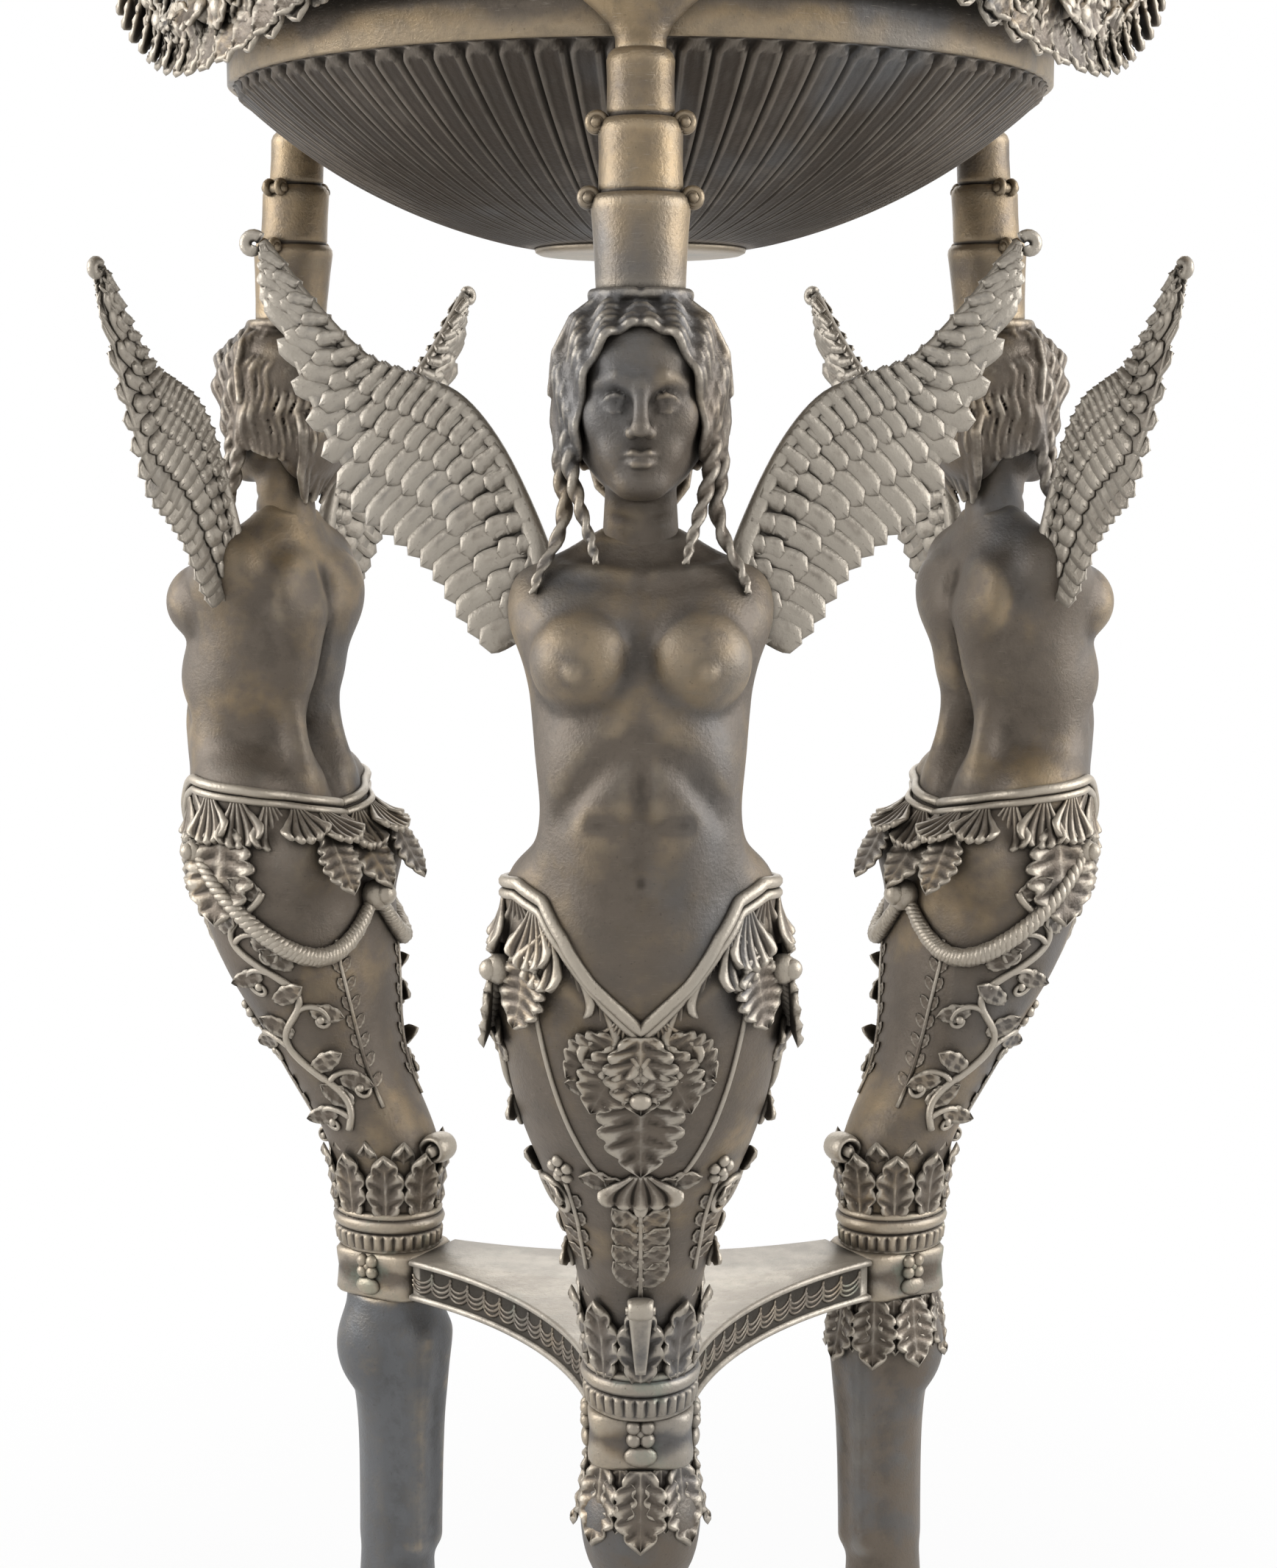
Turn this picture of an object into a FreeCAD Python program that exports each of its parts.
"""Bronze tripod: three winged figures on lion's legs carry a gadrooned bowl.

Millimetres. The floor is z = 0 and the middle of the tripod is the Z axis. The front leg
stands towards -Y, and the other two are the same castings turned by 120 degrees.
"""
import FreeCAD, Part
import math
import os
import Sketcher

from FreeCAD import Placement, Rotation, Vector

OUT = "parts"
LEGS = {"front": 0.0, "right": 120.0, "left": 240.0}
LEGS_WITH_KNEE_LEAVES = ("front", "right")
UP = Vector(0, 0, 1)
OUTWARD = Vector(0, -1, 0)
ACROSS = Vector(1, 0, 0)
ORIGIN = Vector(0, 0, 0)

# The cross-sections of one leg, from the paw to the neck: height, distance of the centre from
# the tripod's axis, half depth away from the axis and half width along the rim.
STATIONS = {
    "pastern": (78.0, 172.0, 25.0, 24.0),
    "ankle": (150.0, 170.5, 22.0, 20.0),
    "calf": (205.0, 170.0, 23.5, 20.5),
    "knee": (258.0, 170.0, 32.0, 28.0),
    "hock": (286.0, 171.0, 29.5, 26.0),
    "stem": (335.0, 174.0, 30.0, 25.5),
    "shin": (372.0, 177.0, 34.0, 30.0),
    "thigh": (420.0, 203.0, 34.0, 40.0),
    "belly": (485.0, 229.0, 49.0, 60.0),
    "hip": (545.0, 242.0, 54.0, 67.5),
    "loin": (588.0, 254.0, 46.0, 57.5),
    "waist": (617.0, 267.0, 36.5, 47.5),
    "ribs": (655.0, 260.0, 49.5, 51.0),
    "bust": (695.0, 255.0, 53.0, 56.0),
    "shoulder": (718.0, 250.0, 41.0, 56.0),
    "nape": (744.0, 245.0, 21.0, 22.0),
    "throat": (764.0, 245.0, 20.0, 20.0),
    "chin": (768.0, 254.0, 27.0, 13.0),
    "jaw": (778.0, 250.0, 30.0, 22.0),
    "cheek": (800.0, 247.0, 34.0, 27.5),
    "brow": (822.0, 246.0, 35.0, 28.5),
    "crown": (850.0, 244.0, 24.0, 20.0),
    "hair_nape": (770.0, 232.0, 18.0, 26.0),
    "hair_ear": (792.0, 238.0, 31.0, 37.0),
    "hair_temple": (815.0, 240.0, 40.0, 41.0),
    "hair_roll": (838.0, 241.0, 40.0, 37.0),
    "hair_top": (858.0, 238.0, 27.0, 25.0),
}
SHANK = ("pastern", "ankle", "calf", "knee", "hock")
HAUNCH = ("stem", "shin", "thigh", "belly", "hip", "loin", "waist")
TORSO = ("waist", "ribs", "bust", "shoulder", "nape")

SIZES = {
    # Lion's paw
    "paw_reach": 192.0,
    "paw_depth": 44.0,
    "paw_width": 37.0,
    "paw_heel_height": 30.0,
    "toe_reach": 226.0,
    "toe_pitch": 18.5,
    "toe_length": 24.0,
    "toe_width": 11.0,
    "toe_height": 17.0,
    "toe_lift": 12.0,
    "claw_length": 13.0,
    "claw_radius": 4.5,
    # Leaves hanging round the knee
    "knee_leaf_low": 232.0,
    "knee_leaf_top": 282.0,
    "knee_leaf_split": 256.0,
    "knee_leaf_proud": 3.5,
    "knee_leaf_flare": 8.0,
    # Block that takes the stretcher, with a rosette on each free side
    "collar_height": 26.0,
    "collar_depth": 29.5,
    "collar_width": 26.5,
    "collar_chamfer": 4.0,
    "rosette_radius": 9.5,
    "rosette_proud": 4.5,
    # Fluted band and astragal above the block
    "flute_height": 12.0,
    "flute_proud": 1.5,
    "astragal_proud": 3.0,
    # Leaf cup with its curled leaves
    "cup_leaf_top": 371.0,
    "cup_leaf_split": 352.0,
    "cup_leaf_proud": 2.5,
    "cup_leaf_flare": 8.0,
    "front_curl_radius": 7.0,
    "front_curl_width": 16.0,
    "inner_curl_radius": 10.0,
    "inner_curl_width": 20.0,
    # Belt, fringe and pendants on the haunch
    "belt_side_height": 584.0,
    "belt_point_height": 527.0,
    "belt_back_height": 572.0,
    "belt_thickness": 11.0,
    "belt_proud": 4.0,
    "fringe_leaf_radius": 8.5,
    "pendant_low": 444.0,
    "pendant_width": 15.0,
    "shell_height": 424.0,
    "shell_radius": 12.0,
    "hip_knob_radius": 9.0,
    "hip_knob_height": 550.0,
    "garland_low": 503.0,
    "garland_thickness": 15.0,
    "garland_proud": 7.0,
    # Bust
    "breast_radius": 21.0,
    "breast_spacing": 23.0,
    "breast_height": 694.0,
    "breast_reach": 288.0,
    # Head, hair and braids
    "nose_length": 20.0,
    "nose_width": 5.0,
    "hairline_height": 839.0,
    "face_window_depth": 8.0,
    "braid_radius": 6.0,
    "braid_spacing": 34.0,
    "braid_low": 728.0,
    # Wings
    "wing_root_offset": 45.0,
    "wing_root_height": 720.0,
    "wing_elbow_offset": 80.0,
    "wing_elbow_height": 804.0,
    "wing_wrist_offset": 124.0,
    "wing_wrist_height": 826.0,
    "wing_tip_offset": 172.0,
    "wing_tip_height": 880.0,
    "wing_chord": 61.0,
    "wing_thickness": 4.0,
    "wing_ridge_radius": 5.5,
    "wing_reach": 247.0,
    "wing_sweep": 8.0,
    # Stepped column on the head
    "column_reach": 236.0,
    "tier_low_height": 43.0,
    "tier_low_radius": 20.5,
    "tier_low_flare": 2.5,
    "tier_mid_height": 34.0,
    "tier_mid_radius": 19.3,
    "tier_top_height": 30.0,
    "tier_top_radius": 15.5,
    "tier_shoulder": 4.0,
    "ear_radius": 4.5,
    "ear_width": 7.0,
    "column_lean": 8.0,
    # Calyx that carries the bowl
    "calyx_neck_radius": 11.8,
    "calyx_half_width": 29.0,
    "calyx_half_depth": 11.0,
    # Stretcher
    "stretcher_top": 312.0,
    "stretcher_thickness": 25.0,
    "stretcher_lip": 4.0,
    "stretcher_lip_proud": 3.0,
    "stretcher_waist": 66.0,
    "stretcher_end_half_width": 22.0,
    "dowel_radius": 5.0,
    "dowel_length": 30.0,
    # Bowl
    "disc_radius": 57.0,
    "disc_thickness": 4.0,
    "basin_base": 892.0,
    "basin_top": 973.0,
    "basin_radius": 216.0,
    "basin_wall": 5.0,
    "gadroon_count": 78.0,
    "gadroon_rise": 2.6,
    "band_height": 18.0,
    "band_proud": 2.5,
    "rim_radius": 318.0,
    "rim_height": 1090.0,
    "rim_wall": 5.0,
    "lip_depth": 8.0,
    "seat_height": 990.0,
    "seat_half_angle": 6.5,
    "seat_clearance": 1.2,
    # Garlands under the rim
    "festoon_clearance": 0.3,
    "festoon_top_height": 1052.0,
    "festoon_low_height": 998.0,
    "festoon_half_angle": 43.0,
    "festoon_thin": 7.0,
    "festoon_thick": 15.0,
    "fruit_radius": 11.0,
}

doc = FreeCAD.newDocument("tripod")
sheet = doc.addObject("Spreadsheet::Sheet", "sizes")
nodes = []


def fill_sheet():
    """Write every driving size into the sheet under its own name."""
    rows = dict(SIZES)
    for station, measures in STATIONS.items():
        for word, value in zip(("height", "reach", "depth", "width"), measures):
            rows[f"{station}_{word}"] = value
    for row, (name, value) in enumerate(rows.items(), start=1):
        sheet.set(f"A{row}", name)
        sheet.set(f"B{row}", str(value))
        sheet.setAlias(f"B{row}", name)
    doc.recompute()


def size(name):
    """Read one driving size back from the sheet."""
    return float(getattr(sheet, name))


def at(station):
    """Height, reach, half depth and half width of one cross-section."""
    return [size(f"{station}_{word}") for word in ("height", "reach", "depth", "width")]


def place(x, reach, z):
    """A point of the front leg: across, away from the axis, up."""
    return Vector(x, -reach, z)


def located(kind, name, x, reach, z, **formulas):
    """A Part primitive that follows the sheet, placed in the front leg's own terms."""
    item = doc.addObject(kind, name)
    for prop, formula in formulas.items():
        item.setExpression(prop, formula)
    item.setExpression("Placement.Base.x", x)
    item.setExpression("Placement.Base.y", f"-({reach})")
    item.setExpression("Placement.Base.z", z)
    return item


def shaped(name, shape):
    """A feature that holds a worked-out shape."""
    item = doc.addObject("Part::Feature", name)
    item.Shape = shape
    return item


def joined(name, pieces):
    """One solid from several overlapping pieces."""
    item = doc.addObject("Part::MultiFuse", name)
    item.Shapes = pieces
    item.Refine = False
    return item


def cut(name, base, tool):
    """The first piece less the second."""
    item = doc.addObject("Part::Cut", name)
    item.Base = base
    item.Tool = tool
    return item


def common(name, base, tool):
    """What two pieces share."""
    item = doc.addObject("Part::Common", name)
    item.Base = base
    item.Tool = tool
    return item


def node(item, name):
    """Mark a finished sub-part: its label names its file."""
    item.Label = name
    nodes.append(item)
    return item


def ring(centre, first, second, steps=12):
    """A closed many-sided oval about a centre, from its two half axes."""
    points = []
    for step in range(steps):
        turn = 2 * math.pi * step / steps
        points.append(centre + first * math.cos(turn) + second * math.sin(turn))
    return Part.makePolygon(points + points[:1])


def oval(height, reach, depth, width, grow=0.0, steps=12):
    """A level cross-section of the leg."""
    return ring(place(0, reach, height), ACROSS * (width + grow), OUTWARD * (depth + grow), steps)


def loft(sections, smooth=False):
    """A solid through closed sections, straight from each to the next unless smooth."""
    return Part.makeLoft(sections, True, not smooth)


def limb(stations, grow=0.0):
    """A smooth loft through named cross-sections, grown all round by one amount."""
    return loft([oval(*at(station), grow) for station in stations], smooth=True)


def pebble(centre, across, away, up, steps=8):
    """A rounded lump about a centre, from its three half sizes."""
    levels = [(-1.0, 0.35), (-0.6, 0.82), (0.0, 1.0), (0.6, 0.82), (1.0, 0.35)]
    sections = [
        ring(centre + UP * (up * rise), ACROSS * (across * girth), OUTWARD * (away * girth), steps)
        for rise, girth in levels
    ]
    return loft(sections)


def between(first, second, height):
    """The cross-section at a height between two stations, in proportion."""
    low, high = at(first), at(second)
    share = (height - low[0]) / (high[0] - low[0])
    return [a + share * (b - a) for a, b in zip(low, high)]


def outline_prism(points, near, far):
    """A prism along Y through a closed outline of (x, z) corners."""
    corners = [Vector(x, -near, z) for x, z in points]
    face = Part.Face(Part.makePolygon(corners + corners[:1]))
    return face.extrude(Vector(0, near - far, 0))


def notches(reach, low, high, count, depth):
    """Wedges round the leg that split a sleeve into pointed leaves."""
    half = depth * math.tan(math.pi / count)
    corners = [(-half * 0.55, low), (half * 0.55, low), (0, high)]
    wedges = []
    for step in range(count):
        spots = [Vector(x, 0, z) for x, z in corners]
        wedge = Part.Face(Part.makePolygon(spots + spots[:1])).extrude(Vector(0, -2 * depth, 0))
        wedge.rotate(ORIGIN, UP, 360.0 * (step + 0.5) / count)
        wedge.translate(Vector(0, -reach, 0))
        wedges.append(wedge)
    return Part.makeCompound(wedges)


def make_paw():
    """Lion's paw: a lofted foot, four toes and their claws, cut flat on the floor."""
    reach, depth, width = size("paw_reach"), size("paw_depth"), size("paw_width")
    heel = size("paw_heel_height")
    top = at("pastern")
    sections = [
        oval(0, reach, depth, width),
        oval(heel, reach - 4, depth * 0.9, width * 0.92),
        oval((heel + top[0]) / 2, (reach + top[1]) / 2, depth * 0.68, width * 0.76),
        oval(*top),
    ]
    pieces = [shaped("paw_foot", loft(sections))]
    long, wide, high = (size(f"toe_{word}") for word in ("length", "width", "height"))
    claw = size("claw_radius")
    for index, step in enumerate((-1.5, -0.5, 0.5, 1.5)):
        away = size("toe_reach") - (abs(step) - 0.5) * wide * 0.5
        spot = place(step * size("toe_pitch"), away, size("toe_lift"))
        pieces.append(shaped(f"toe_{index}", pebble(spot, wide, long, high)))
        start = spot + OUTWARD * long * 0.6 + UP * claw
        end = start + OUTWARD * size("claw_length") - UP * (claw + size("toe_lift") * 0.6)
        rings = [ring(start, ACROSS * claw, UP * claw, 6),
                 ring(end, ACROSS * claw * 0.25, UP * claw * 0.25, 6)]
        pieces.append(shaped(f"claw_{index}", loft(rings)))
    foot = joined("paw_parts", pieces)
    space = located(
        "Part::Box", "paw_space", "-2 * sizes.paw_width", "sizes.toe_reach + 3 * sizes.toe_length",
        "0", Length="4 * sizes.paw_width", Width="3 * sizes.toe_reach",
        Height="sizes.pastern_height")
    return common("paw", foot, space)


def make_knee_leaves(shank):
    """A flared sleeve of pointed leaves on the knee, open against the shank."""
    low, top = size("knee_leaf_low"), size("knee_leaf_top")
    proud, flare = size("knee_leaf_proud"), size("knee_leaf_flare")
    sleeve = loft([
        oval(*between("calf", "knee", low), flare),
        oval(*at("knee"), proud),
        oval(*between("knee", "hock", top), proud),
    ])
    reach = size("knee_reach")
    splits = notches(reach, low - 1, size("knee_leaf_split"), 8, size("knee_depth") + flare)
    leaves = cut("knee_sleeve", shaped("knee_sleeve_blank", sleeve), shaped("knee_splits", splits))
    return cut("knee_leaves", leaves, shank)


def make_rosette(name, centre, facing):
    """Four petals about a raised boss, standing on the block's side."""
    radius, proud = size("rosette_radius"), size("rosette_proud")
    petals = []
    for step in range(4):
        turn = math.radians(45 + 90 * step)
        middle = ACROSS * (radius * 0.55 * math.cos(turn)) + UP * (radius * 0.55 * math.sin(turn))
        outer = ring(middle - OUTWARD, ACROSS * radius * 0.48, UP * radius * 0.48, 8)
        inner = ring(middle + OUTWARD * proud * 0.7, ACROSS * radius * 0.3, UP * radius * 0.3, 8)
        petals.append(loft([outer, inner]))
    boss = loft([ring(ORIGIN - OUTWARD, ACROSS * radius * 0.34, UP * radius * 0.34, 8),
                 ring(OUTWARD * proud, ACROSS * radius * 0.16, UP * radius * 0.16, 8)])
    flower = petals[0].multiFuse(petals[1:] + [boss])
    flower.rotate(ORIGIN, UP, facing)
    flower.translate(centre)
    return shaped(name, flower)


def make_collar(dowel):
    """Chamfered block under the haunch, with a rosette on each free side and a dowel hole."""
    block = located(
        "Part::Box", "collar_block", "-sizes.collar_width", "sizes.hock_reach + sizes.collar_depth",
        "sizes.hock_height", Length="2 * sizes.collar_width", Width="2 * sizes.collar_depth",
        Height="sizes.collar_height")
    doc.recompute()
    eased = doc.addObject("Part::Chamfer", "collar_eased")
    eased.Base = block
    chamfer = size("collar_chamfer")
    edges = []
    for number, edge in enumerate(block.Shape.Edges, start=1):
        if abs(edge.tangentAt(0).z) > 0.99:
            edges.append((number, chamfer, chamfer))
    eased.Edges = edges
    reach = size("hock_reach")
    middle = size("hock_height") + size("collar_height") / 2
    depth, width = size("collar_depth"), size("collar_width")
    flowers = [
        make_rosette("rosette_front", place(0, reach + depth, middle), 0),
        make_rosette("rosette_right", place(width, reach, middle), 90),
        make_rosette("rosette_left", place(-width, reach, middle), -90),
    ]
    return cut("collar", joined("collar_solid", [eased] + flowers), dowel)


def make_neck_ring():
    """Fluted band under a rounded astragal."""
    low = size("hock_height") + size("collar_height")
    high = low + size("flute_height")
    reach, depth, width = at("stem")[1:]
    proud = size("flute_proud")
    flutes = 24
    corners = []
    for step in range(2 * flutes):
        turn = math.pi * step / flutes
        grow = proud if step % 2 else 0
        corners.append(place((width + grow) * math.cos(turn),
                             reach + (depth + grow) * math.sin(turn), low))
    band = Part.Face(Part.makePolygon(corners + corners[:1])).extrude(UP * (high - low))
    top = size("stem_height")
    bulge = size("astragal_proud")
    rolls = [(0.0, 0.3), (0.25, 0.85), (0.5, 1.0), (0.75, 0.85), (1.0, 0.3)]
    astragal = loft([oval(high + (top - high) * rise, reach, depth, width, bulge * share, 16)
                     for rise, share in rolls])
    return joined("neck_ring", [shaped("flute_band", band), shaped("astragal", astragal)])


def make_curl(name, reach, height, radius, width):
    """A leaf rolled over at its end: a scroll with a proud eye on either side."""
    pieces = []
    for word, girth, half in (("roll", radius, width / 2), ("eye", radius * 0.45, width / 2 + 2)):
        rings = [ring(place(x, reach, height), OUTWARD * girth, UP * girth, 10)
                 for x in (-half, half)]
        pieces.append(shaped(f"{name}_{word}", loft(rings)))
    return pieces


def make_leaf_cup(haunch):
    """Pointed leaves that grip the foot of the haunch, with a curl in front and one inside."""
    low, top = size("stem_height"), size("cup_leaf_top")
    proud, flare = size("cup_leaf_proud"), size("cup_leaf_flare")
    split = size("cup_leaf_split")
    cup = loft([
        oval(*at("stem"), proud),
        oval(*between("stem", "shin", split), (proud + flare) / 2),
        oval(*between("stem", "shin", top), flare),
    ])
    splits = notches(size("stem_reach"), top + 1, split, 10, size("stem_depth") + flare)
    leaves = cut("cup_leaves", shaped("cup_blank", cup), shaped("cup_splits", splits))
    reach, depth = size("shin_reach"), size("shin_depth")
    front = make_curl("front_curl", reach + depth + flare * 0.5, top,
                      size("front_curl_radius"), size("front_curl_width"))
    inner = make_curl("inner_curl", reach - depth - flare, top,
                      size("inner_curl_radius"), size("inner_curl_width"))
    return cut("leaf_cup", joined("cup_with_curls", [leaves] + front + inner), haunch)


def make_girdle(haunch):
    """Belt that falls to a point in front, fringed with leaves, and its pendant leaf."""
    side, point, back = (size(f"belt_{word}_height") for word in ("side", "point", "back"))
    thick, proud = size("belt_thickness"), size("belt_proud")
    width = size("hip_width") + 3 * proud
    centre = size("loin_reach") - size("loin_depth") * 0.2
    far = size("hip_reach") + size("hip_depth") + 4 * proud
    near = size("hip_reach") - size("hip_depth") - 4 * proud
    knee_x, knee_z = width * 0.5, point + 0.62 * (side - point)
    upper = [(-width, side), (-knee_x, knee_z), (0, point), (knee_x, knee_z), (width, side)]
    lower = [(x, z - thick) for x, z in reversed(upper)]
    front = outline_prism(upper + lower, centre, far)
    back_upper = [(-width, side), (0, back), (width, side)]
    back_lower = [(x, z - thick) for x, z in reversed(back_upper)]
    rear = outline_prism(back_upper + back_lower, near, centre)
    pieces = [front, rear]
    leaf = size("fringe_leaf_radius")
    steps = 5
    for turn in (-1, 1):
        for step in range(steps):
            share = (step + 0.4) / steps
            x = turn * share * width * 0.86
            drop = knee_z + (side - knee_z) * (abs(x) - knee_x) / knee_x
            rise = point + (knee_z - point) * abs(x) / knee_x
            z = (rise if abs(x) < knee_x else drop) - thick
            lobe = ring(place(x, centre, z), ACROSS * leaf, UP * leaf, 10)
            pieces.append(Part.Face(lobe).extrude(OUTWARD * (far - centre)))
    low, half = size("pendant_low"), size("pendant_width")
    rise = point - thick - low
    pendant = [(0, low), (half * 0.8, low + rise * 0.3), (half, low + rise * 0.6), (half, point),
               (-half, point), (-half, low + rise * 0.6), (-half * 0.8, low + rise * 0.3)]
    pieces.append(outline_prism(pendant, centre, far))
    stamp = shaped("girdle_outline", pieces[0].multiFuse(pieces[1:]))
    skin = shaped("girdle_skin", limb(HAUNCH, proud))
    relief = cut("girdle_relief", common("girdle_band", skin, stamp), haunch)
    radius = size("shell_radius")
    shell_base = place(0, size("thigh_reach"), size("shell_height"))
    stamp = Part.Face(ring(shell_base, ACROSS * radius, UP * radius)).extrude(OUTWARD * far)
    relief_shell = cut("shell_relief", common("shell_band", skin, shaped("shell_outline", stamp)),
                       haunch)
    return relief, relief_shell


def make_garland(haunch, girdle):
    """Swag across the back of the haunch, from one hip knob to the other."""
    low, thick = size("garland_low"), size("garland_thickness")
    high = size("hip_knob_height")
    width = size("hip_width") + 2 * size("garland_proud")
    centre = size("hip_reach")
    inner = size("hip_reach") - size("hip_depth") - 4 * size("garland_proud")
    steps = 8
    upper = []
    lower = []
    for step in range(steps + 1):
        share = 2 * step / steps - 1
        sag = low + (high - low) * share * share
        half = thick * (0.5 - 0.22 * abs(share))
        upper.append((share * width, sag + half))
        lower.append((share * width, sag - half))
    stamp = shaped("garland_outline", outline_prism(upper + lower[::-1], inner, centre))
    skin = shaped("garland_skin", limb(HAUNCH, size("garland_proud")))
    rope = common("garland_band", skin, stamp)
    knob = size("hip_knob_radius")
    knobs = []
    for word, sign in (("right", 1), ("left", -1)):
        spot = place(sign * size("hip_width"), centre + knob * 0.4, high)
        knobs.append(shaped(f"hip_knob_{word}", pebble(spot, knob, knob, knob)))
    carried = joined("garland_with_knobs", [rope] + knobs)
    return cut("back_garland", cut("garland_off_haunch", carried, haunch), girdle)


def make_torso():
    """Bust from the waist to the nape."""
    pieces = [shaped("torso_core", limb(TORSO))]
    radius = size("breast_radius")
    for word, sign in (("right", 1), ("left", -1)):
        spot = place(sign * size("breast_spacing"), size("breast_reach"), size("breast_height"))
        pieces.append(shaped(f"breast_{word}", pebble(spot, radius, radius, radius, 12)))
    return joined("torso", pieces)


def make_head():
    """Neck, jaw, face and skull in one loft, with the nose on it."""
    levels = ("nape", "throat", "chin", "jaw", "cheek", "brow", "crown")
    skull = shaped("skull", loft([oval(*at(level), 0.0, 16) for level in levels]))
    length, half = size("nose_length"), size("nose_width")
    low = size("cheek_height") - length * 0.35
    face = size("cheek_reach") + size("cheek_depth")
    rings = [
        ring(place(0, face - 4, low), ACROSS * half, OUTWARD * (half + 5), 8),
        ring(place(0, face - 5, low + length), ACROSS * half * 0.5, OUTWARD * (half * 0.5 + 4), 8),
    ]
    return joined("head_solid", [skull, shaped("nose", loft(rings))])


def make_hair(head, torso):
    """Hair parted in the middle and cut level for the column, with a braid on each side."""
    levels = ("hair_nape", "hair_ear", "hair_temple", "hair_roll", "hair_top")
    mass = shaped("hair_mass", loft([oval(*at(level), 0.0, 16) for level in levels]))
    pieces = [mass]
    radius = size("braid_radius")
    reach = size("hair_ear_reach")
    for word, sign in (("right", 1), ("left", -1)):
        x = sign * size("braid_spacing")
        path = [(x, reach, size("hair_temple_height")), (x, reach + 12, size("jaw_height")),
                (x, reach + 18, size("braid_low"))]
        rings = [ring(place(*spot), ACROSS * radius, OUTWARD * radius, 8) for spot in path]
        pieces.append(shaped(f"braid_{word}", loft(rings)))
    low, brow, part = size("throat_height"), size("brow_height"), size("hairline_height")
    half = size("cheek_width") - 1
    window = [(-half, low), (half, low), (half, brow), (half * 0.6, part - 6), (0, part),
              (-half * 0.6, part - 6), (-half, brow)]
    near = size("cheek_reach") + size("face_window_depth")
    face = shaped("face_window", outline_prism(window, near, near + 2 * size("hair_roll_depth")))
    return cut("hair", joined("hair_full", pieces), joined("hair_clear", [head, torso, face]))


def wing_spine(steps):
    """Points along the bone in the wing's own plane, over the elbow and wrist to the tip."""
    spots = []
    for joint in ("root", "elbow", "wrist", "tip"):
        spots.append(Vector(size(f"wing_{joint}_offset"), 0, size(f"wing_{joint}_height")))
    spine = Part.BSplineCurve()
    spine.interpolate(spots)
    return spine.discretize(steps + 1)


def wing_layer(name, edge, share, feathers, thickness):
    """One layer of overlapping feathers: along the bone above, scalloped at the ends below."""
    chord = size("wing_chord") * share
    root, tip = edge[0].x, edge[-1].x
    ends = []
    for feather in range(feathers):
        for part, length in ((0.0, 0.84), (0.35, 1.0), (0.75, 0.98)):
            along = 0.03 + 0.94 * (feather + part) / feathers
            x = root + (tip - root) * along
            before, after = next((a, b) for a, b in zip(edge, edge[1:]) if b.x >= x)
            rise = before.z + (after.z - before.z) * (x - before.x) / (after.x - before.x)
            drop = chord * length * math.sin(math.pi * along) ** 0.4
            ends.append((x, rise - drop))
    outline = [(spot.x, spot.z) for spot in edge] + ends[::-1]
    return shaped(name, outline_prism(outline, -thickness / 2, thickness / 2))


def make_wing(side, torso):
    """Wing of three feather layers hung on a tapering bone with a bud at its tip."""
    thin = size("wing_thickness")
    edge = wing_spine(12)
    layers = [
        wing_layer(f"{side}_quills", edge, 1.0, 8, thin),
        wing_layer(f"{side}_middle_feathers", edge, 0.64, 9, thin * 1.7),
        wing_layer(f"{side}_coverts", edge, 0.34, 10, thin * 2.4),
    ]
    radius = size("wing_ridge_radius")
    steps = 6
    joints = wing_spine(steps)
    rings = []
    for step, spot in enumerate(joints):
        along = joints[min(step + 1, steps)] - joints[max(step - 1, 0)]
        over = Vector(-along.z, 0, along.x).normalize()
        girth = radius * (1.15 - 0.55 * step / steps)
        rings.append(ring(spot, over * girth, OUTWARD * girth, 8))
    bone = shaped(f"{side}_wing_bone", loft(rings))
    bud = shaped(f"{side}_wing_bud", pebble(joints[-1], radius, radius, radius * 1.4))
    blade = joined(f"{side}_wing_blade", layers + [bone, bud])
    doc.recompute()
    shape = blade.Shape.copy()
    shape.rotate(Vector(size("wing_root_offset"), 0, 0), UP, -size("wing_sweep"))
    shape.translate(OUTWARD * size("wing_reach"))
    if side == "left":
        shape = shape.mirror(ORIGIN, ACROSS)
    return cut(f"{side}_wing", shaped(f"{side}_wing_set", shape), torso)


def make_column():
    """Three shouldered tiers, leaning in a little, with scrolled ears on the lower two."""
    lean = size("column_lean")
    base = size("hair_top_height")
    tiers = [("low", size("tier_low_flare")), ("mid", 0.0), ("top", 0.0)]
    total = sum(size(f"tier_{word}_height") for word, flare in tiers)
    shoulder = size("tier_shoulder")
    pieces = []
    z = base
    for word, flare in tiers:
        radius, height = size(f"tier_{word}_radius"), size(f"tier_{word}_height")
        top = z + height
        stops = [(z, radius), (top - shoulder, radius + flare), (top, radius + flare - shoulder)]
        rings = []
        for level, ring_radius in stops:
            reach = size("column_reach") - lean * (level - base) / total
            rings.append(oval(level, reach, ring_radius, ring_radius, 0.0, 24))
        pieces.append(shaped(f"tier_{word}", loft(rings)))
        if word != "top":
            reach = size("column_reach") - lean * (top - base) / total
            for sign in (-1, 1):
                spot = place(sign * (radius + flare), reach - size("ear_width") / 2, top - shoulder)
                for part, girth, extra in (("roll", 1.0, 0), ("eye", 0.4, 1)):
                    girth *= size("ear_radius")
                    rim = ring(spot - OUTWARD * extra, ACROSS * girth, UP * girth, 10)
                    solid = Part.Face(rim).extrude(OUTWARD * (size("ear_width") + 2 * extra))
                    pieces.append(shaped(f"ear_{word}_{part}_{sign + 1}", solid))
        z = top
    return joined("column", pieces), z, size("column_reach") - lean


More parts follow.
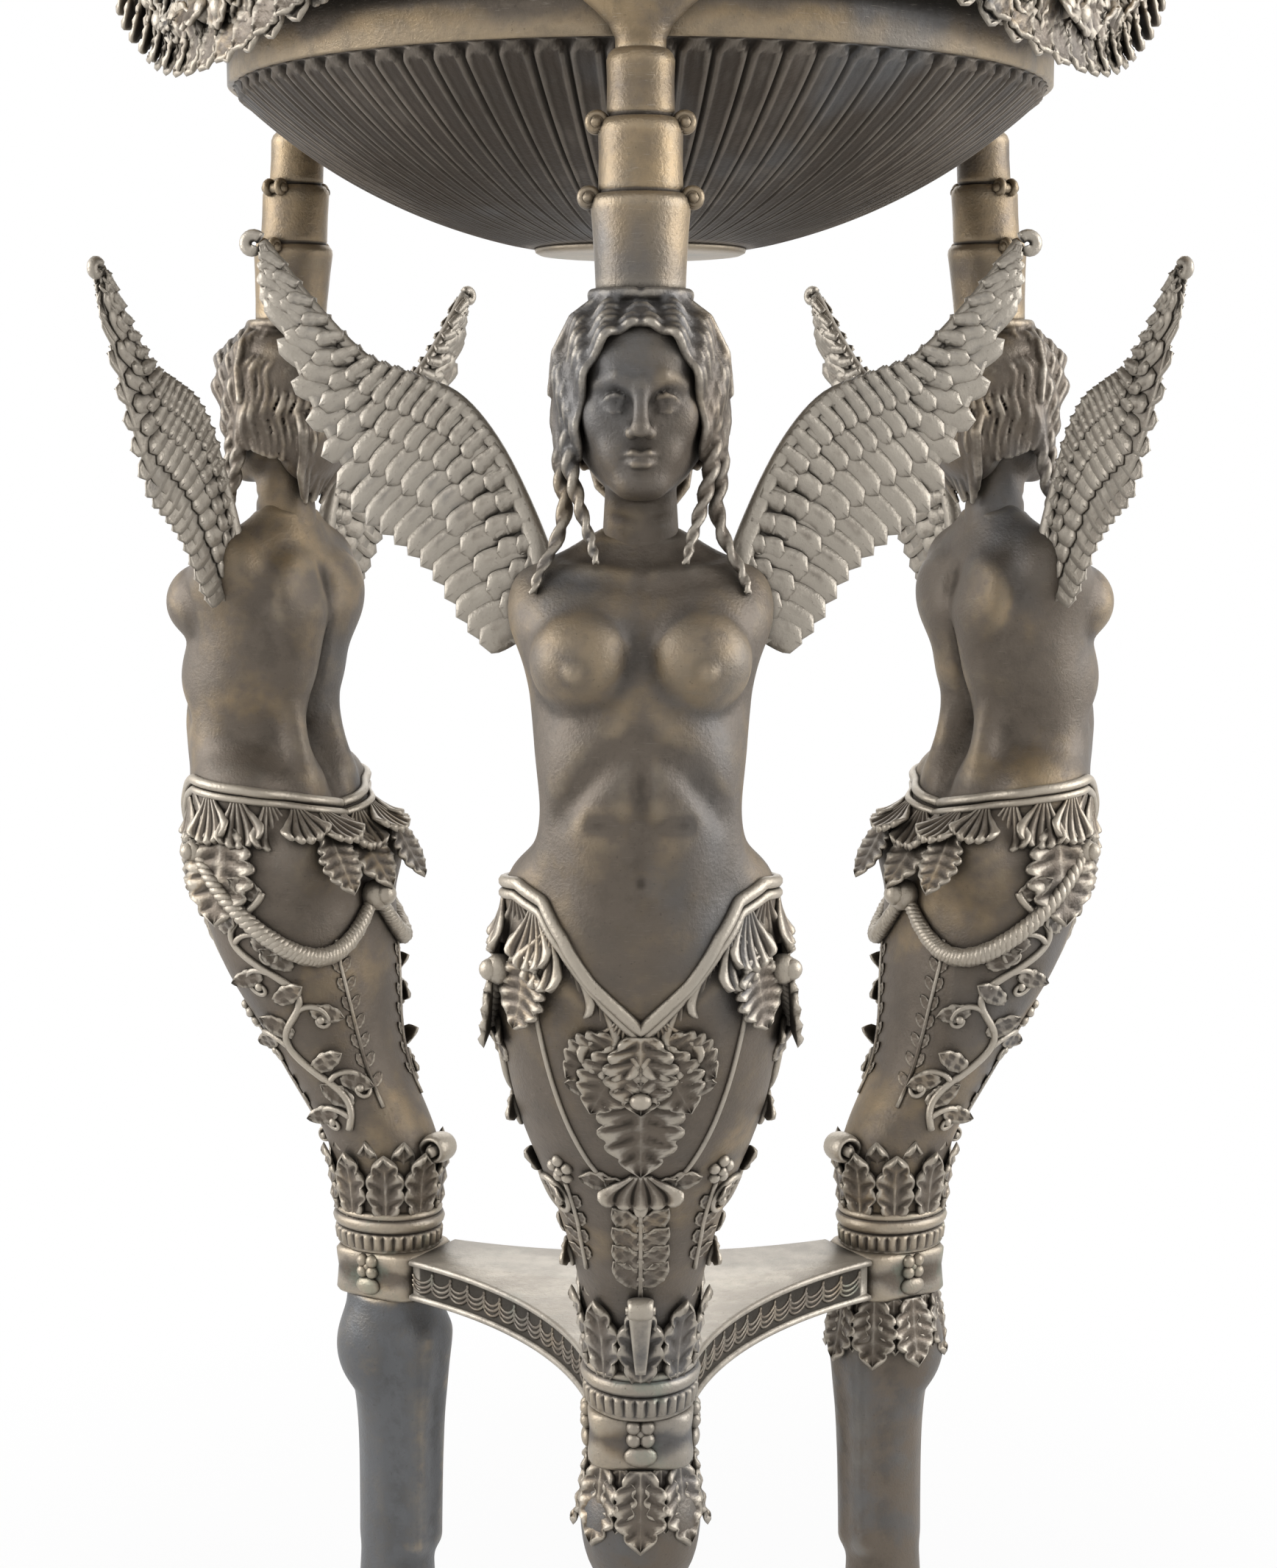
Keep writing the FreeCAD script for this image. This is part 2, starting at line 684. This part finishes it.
def make_calyx(base, reach):
    """Calyx that spreads along the rim and ends in a flat seat for the bowl."""
    neck = size("calyx_neck_radius")
    top = size("seat_height")
    half_width, half_depth = size("calyx_half_width"), size("calyx_half_depth")
    seat_reach = size("basin_radius") + size("band_proud") + size("seat_clearance") + half_depth
    sections = [
        oval(base, reach, neck, neck),
        oval(base + (top - base) * 0.35, (reach + seat_reach) / 2, neck * 0.9, neck * 1.05),
        oval(base + (top - base) * 0.7, seat_reach, half_depth * 0.95, half_width * 0.68),
        oval(top, seat_reach, half_depth, half_width),
    ]
    return shaped("calyx", loft(sections))


def make_stretcher():
    """Three-cornered plate with hollow sides, a lip above and below the frieze."""
    reach = size("hock_reach") - size("collar_depth")
    end = size("stretcher_end_half_width")
    chord_half = (reach * math.sqrt(3) - end) / 2
    chord_far = (reach + end * math.sqrt(3)) / 2
    top, thick = size("stretcher_top"), size("stretcher_thickness")
    lip, proud = size("stretcher_lip"), size("stretcher_lip_proud")
    layers = [(top - thick, lip, proud), (top - thick + lip, thick - 2 * lip, 0.0),
              (top - lip, lip, proud)]
    slabs = []
    for low, height, grow in layers:
        waist = size("stretcher_waist") + grow
        sag = chord_far + grow - waist
        radius = (chord_half ** 2 + sag ** 2) / (2 * sag)
        ends = []
        for turn in (-90, 30, 150):
            for side in (-1, 1):
                corner = Vector(reach, side * (end + grow), low)
                corner = Rotation(UP, turn).multVec(corner)
                ends.append(corner)
        edges = []
        for index in range(3):
            first, second = ends[2 * index + 1], ends[(2 * index + 2) % 6]
            facing = math.radians(-30 + 120 * index)
            middle = Vector(waist * math.cos(facing), waist * math.sin(facing), low)
            edges.append(Part.Arc(first, middle, second).toShape())
            edges.append(Part.LineSegment(second, ends[(2 * index + 3) % 6]).toShape())
        face = Part.Face(Part.Wire(Part.__sortEdges__(edges)))
        slabs.append(shaped(f"stretcher_layer_{len(slabs)}", face.extrude(UP * height)))
    return joined("stretcher_blank", slabs)


def make_dowel():
    """Round dowel that locks the stretcher's front end into the block of the front leg."""
    length, radius = size("dowel_length"), size("dowel_radius")
    middle = size("stretcher_top") - size("stretcher_thickness") / 2
    start = size("hock_reach") - size("collar_depth") - length / 2
    rim = ring(place(0, start, middle), ACROSS * radius, UP * radius, 16)
    return shaped("dowel", Part.Face(rim).extrude(OUTWARD * length))


def make_dowels(dowel):
    """The front dowel and its two copies."""
    pins = []
    for turn in LEGS.values():
        pin = dowel.Shape.copy()
        pin.rotate(ORIGIN, UP, turn)
        pins.append(pin)
    return shaped("stretcher_dowels", Part.makeCompound(pins))


def sphere_through(radius, height, top_radius, top_height):
    """Centre height and radius of the bowl's sphere through two circles."""
    centre = (top_radius ** 2 + top_height ** 2 - radius ** 2 - height ** 2)
    centre /= 2 * (top_height - height)
    return centre, math.hypot(radius, centre - height)


def make_basin():
    """Shell whose underside is a ring of tapering tongues, each one patch of the same form."""
    low_radius, low = size("disc_radius"), size("basin_base")
    top_radius, top = size("basin_radius"), size("basin_top")
    centre, ball = sphere_through(low_radius, low, top_radius, top)
    count = int(round(size("gadroon_count")))
    rise = size("gadroon_rise")
    start = math.asin(low_radius / ball)
    finish = math.asin(top_radius / ball)
    spans = ((0, 0), (0.3, 0.6), (0.62, 0.9), (0.92, 1), (1, 0))
    ribs = []
    for side, lift in ((-1, 0), (-0.5, 1), (0.5, 1), (1, 0)):
        rib = []
        for share, swell in spans:
            tilt = start + (finish - start) * share
            out = ball + rise * lift * swell
            turn = math.pi / count * side
            radius = out * math.sin(tilt)
            rib.append(Vector(radius * math.cos(turn), radius * math.sin(turn),
                              centre - out * math.cos(tilt)))
        ribs.append(rib)
    tongue = []
    for left, right in zip(ribs, ribs[1:]):
        for index in range(len(spans) - 1):
            corners = [left[index], right[index], right[index + 1], left[index + 1]]
            for three in (corners[:3], [corners[0], *corners[2:]]):
                tongue.append(Part.Face(Part.makePolygon(three + three[:1])))
    patches = []
    for step in range(count):
        for face in tongue:
            patch = face.copy()
            patch.rotate(ORIGIN, UP, 360.0 * step / count)
            patches.append(patch)
    ends = {}
    for level in (low, top):
        ends[level] = [edge for patch in patches for edge in patch.Edges
                       if max(abs(spot.Z - level) for spot in edge.Vertexes) < 0.001]
    wall = ball - size("basin_wall")
    inner_radius = math.sqrt(wall ** 2 - (centre - top) ** 2)
    brim_inner = Part.Wire([Part.Circle(Vector(0, 0, top), UP, inner_radius).toShape()])
    brim_outer = Part.Wire(Part.__sortEdges__(ends[top]))
    brim = Part.makeFace([brim_outer, brim_inner], "Part::FaceMakerBullseye")
    bottom = Part.Face(Part.Wire(Part.__sortEdges__(ends[low])))
    inner_tilt = math.asin(inner_radius / wall)
    steps = 5
    meridian = []
    for step in range(steps, -1, -1):
        tilt = inner_tilt * step / steps
        meridian.append(Vector(wall * math.sin(tilt), 0, centre - wall * math.cos(tilt)))
    inside = Part.makePolygon(meridian).revolve(ORIGIN, UP, 360)
    shell = Part.makeShell(patches + [brim, bottom] + inside.Faces)
    shell.sewShape(0.01)
    solid = Part.makeSolid(Part.Shell(shell.Faces))
    if solid.Volume < 0:
        solid.reverse()
    return shaped("basin", solid)


def turned(name, corners):
    """A body turned about the Z axis from a closed profile of (radius, height) formulas."""
    body = doc.addObject("PartDesign::Body", name)
    sketch = body.newObject("Sketcher::SketchObject", name + "_profile")
    plane = next(item for item in body.Origin.OriginFeatures if item.Role == "XZ_Plane")
    sketch.AttachmentSupport = (plane, "")
    sketch.MapMode = "FlatFace"
    guesses = []
    for index in range(len(corners)):
        turn = 2 * math.pi * index / len(corners)
        guesses.append(Vector(200 + 50 * math.cos(turn), 200 + 50 * math.sin(turn), 0))
    for first, second in zip(guesses, guesses[1:] + guesses[:1]):
        sketch.addGeometry(Part.LineSegment(first, second), False)
    total = len(corners)
    for index in range(total):
        sketch.addConstraint(Sketcher.Constraint("Coincident", index, 2, (index + 1) % total, 1))
    for index, (radius, height) in enumerate(corners):
        if radius == "0":
            sketch.addConstraint(Sketcher.Constraint("PointOnObject", index, 1, -2))
        else:
            number = sketch.addConstraint(
                Sketcher.Constraint("DistanceX", -1, 1, index, 1, guesses[index].x))
            sketch.setExpression(f"Constraints[{number}]", radius)
        number = sketch.addConstraint(
            Sketcher.Constraint("DistanceY", -1, 1, index, 1, guesses[index].y))
        sketch.setExpression(f"Constraints[{number}]", height)
    turn = body.newObject("PartDesign::Revolution", name + "_turn")
    turn.Profile = sketch
    turn.ReferenceAxis = (sketch, ["V_Axis"])
    turn.Angle = 360
    return body


def make_disc():
    """Round disc that closes the middle of the basin below."""
    return turned("disc", [
        ("0", "sizes.basin_base - sizes.disc_thickness"),
        ("sizes.disc_radius - 3", "sizes.basin_base - sizes.disc_thickness"),
        ("sizes.disc_radius", "sizes.basin_base - sizes.disc_thickness / 2"),
        ("sizes.disc_radius", "sizes.basin_base"),
        ("0", "sizes.basin_base"),
    ])


def make_rim():
    """Plain band over the gadroons, the flare above it and its rolled lip."""
    band = "sizes.basin_radius + sizes.band_proud"
    band_top = "sizes.basin_top + sizes.band_height"
    wall = "sizes.rim_wall"
    lip = "sizes.lip_depth"
    return turned("rim", [
        (f"{band} - 2 * {wall}", "sizes.basin_top"),
        (band, "sizes.basin_top"),
        (band, band_top),
        (f"sizes.rim_radius - {lip}", f"sizes.rim_height - {lip}"),
        (f"sizes.rim_radius - 0.3 * {lip}", f"sizes.rim_height - {lip}"),
        ("sizes.rim_radius", f"sizes.rim_height - 0.7 * {lip}"),
        ("sizes.rim_radius", f"sizes.rim_height - 0.3 * {lip}"),
        (f"sizes.rim_radius - 0.3 * {lip}", "sizes.rim_height"),
        (f"sizes.rim_radius - 2 * {lip}", "sizes.rim_height"),
        (f"sizes.rim_radius - 2 * {lip}", f"sizes.rim_height - {lip}"),
        (f"{band} - {wall}", f"{band_top} + 0.4 * {wall}"),
    ])


def flare():
    """The flare's outer face: radius and height at its foot, and its rise over its run."""
    foot = size("basin_radius") + size("band_proud")
    foot_height = size("basin_top") + size("band_height")
    lip = size("lip_depth")
    rise = size("rim_height") - lip - foot_height
    return foot, foot_height, rise / (size("rim_radius") - lip - foot)


def make_seats():
    """Pads under the flare, flat below, that rest on the three calyxes."""
    foot, foot_height, slope = flare()
    outer = foot + size("seat_clearance") + 2 * size("calyx_half_depth")
    low = size("seat_height")
    corners = [(foot, low), (outer, low), (outer, foot_height + (outer - foot) * slope),
               (foot, foot_height)]
    spots = [Vector(radius, 0, z) for radius, z in corners]
    face = Part.Face(Part.makePolygon(spots + spots[:1]))
    half = size("seat_half_angle")
    pads = []
    for turn in LEGS.values():
        pad = face.revolve(ORIGIN, UP, 2 * half)
        pad.rotate(ORIGIN, UP, turn - 90 - half)
        pads.append(pad)
    return shaped("seats", Part.makeCompound(pads))


def make_festoon():
    """Garland between two figures, thickest in the middle, with fruit along it."""
    half = size("festoon_half_angle")
    thin, thick = size("festoon_thin"), size("festoon_thick")
    steps = 6
    foot, foot_height, slope = flare()
    rings = []
    spots = []
    for step in range(steps + 1):
        share = 2 * step / steps - 1
        height = size("festoon_low_height")
        height += (size("festoon_top_height") - height) * share * share
        girth = thick - (thick - thin) * abs(share)
        reach = foot + (height - foot_height) / slope
        reach += (girth + size("festoon_clearance")) / math.sin(math.atan(slope))
        reach /= math.cos(math.radians(half / steps))
        turn = math.radians(half * share - 90)
        spot = Vector(reach * math.cos(turn), reach * math.sin(turn), height)
        away = Vector(math.cos(turn), math.sin(turn), 0)
        rings.append(ring(spot, away * girth, UP * girth, 6))
        spots.append((spot, girth))
    swag = loft(rings)
    fruit = size("fruit_radius")
    pieces = []
    for spot, girth in (spots[1], spots[3], spots[5]):
        away = Vector(spot.x, spot.y, 0).normalize()
        pieces.append(pebble(spot + away * girth * 0.5 - UP * girth * 0.4, fruit, fruit, fruit))
    garland = swag.multiFuse(pieces)
    garland.rotate(ORIGIN, UP, 60)
    return shaped("festoon_blank", garland)


def build():
    """Make one leg and the bowl, then set the other legs and garlands round the axis."""
    fill_sheet()
    shank = shaped("shank", limb(SHANK))
    haunch = shaped("haunch", limb(HAUNCH))
    torso = make_torso()
    head = make_head()
    dowel = make_dowel()
    girdle, shell_leaf = make_girdle(haunch)
    column, column_top, column_reach = make_column()
    leg = {
        "paw": make_paw(),
        "shank": shank,
        "knee_leaves": make_knee_leaves(shank),
        "collar": make_collar(dowel),
        "neck_ring": make_neck_ring(),
        "leaf_cup": make_leaf_cup(haunch),
        "haunch": haunch,
        "girdle": girdle,
        "shell_leaf": shell_leaf,
        "back_garland": make_garland(haunch, girdle),
        "torso": torso,
        "head": head,
        "hair": make_hair(head, torso),
        "right_wing": make_wing("right", torso),
        "left_wing": make_wing("left", torso),
        "column": column,
        "calyx": make_calyx(column_top, column_reach),
    }
    for name, turn in LEGS.items():
        for word, item in leg.items():
            if word == "knee_leaves" and name not in LEGS_WITH_KNEE_LEAVES:
                continue
            link = doc.addObject("App::Link", f"{name}_{word}")
            link.LinkedObject = item
            link.LinkTransform = True
            link.Placement = Placement(ORIGIN, Rotation(UP, turn))
            node(link, f"{name}_{word}")
    dowels = make_dowels(dowel)
    node(cut("stretcher", make_stretcher(), dowels), "stretcher_plate")
    node(dowels, "stretcher_dowels")
    node(make_basin(), "bowl_basin")
    node(make_disc(), "bowl_disc")
    node(make_rim(), "bowl_rim")
    node(make_seats(), "bowl_seats")
    festoon = make_festoon()
    doc.recompute()
    for name, turn in LEGS.items():
        link = doc.addObject("App::Link", f"{name}_festoon")
        link.LinkedObject = festoon
        link.LinkTransform = True
        link.Placement = Placement(ORIGIN, Rotation(UP, turn))
        node(link, f"{name}_festoon")
    doc.recompute()


def write():
    """Refuse any failed object or shape, then write one file for each sub-part."""
    for item in doc.Objects:
        if "Invalid" in item.State or "Error" in item.State:
            raise RuntimeError(f"{item.Name} failed: {item.State}")
    os.makedirs(OUT, exist_ok=True)
    for item in nodes:
        shape = Part.getShape(item, "", needSubElement=False, transform=True)
        if shape.isNull() or not shape.isValid():
            raise RuntimeError(f"{item.Label} is not a valid shape")
        shape.exportStep(os.path.join(OUT, item.Label + ".step"))
        print(item.Label, len(shape.Solids), round(shape.Volume))


build()
write()
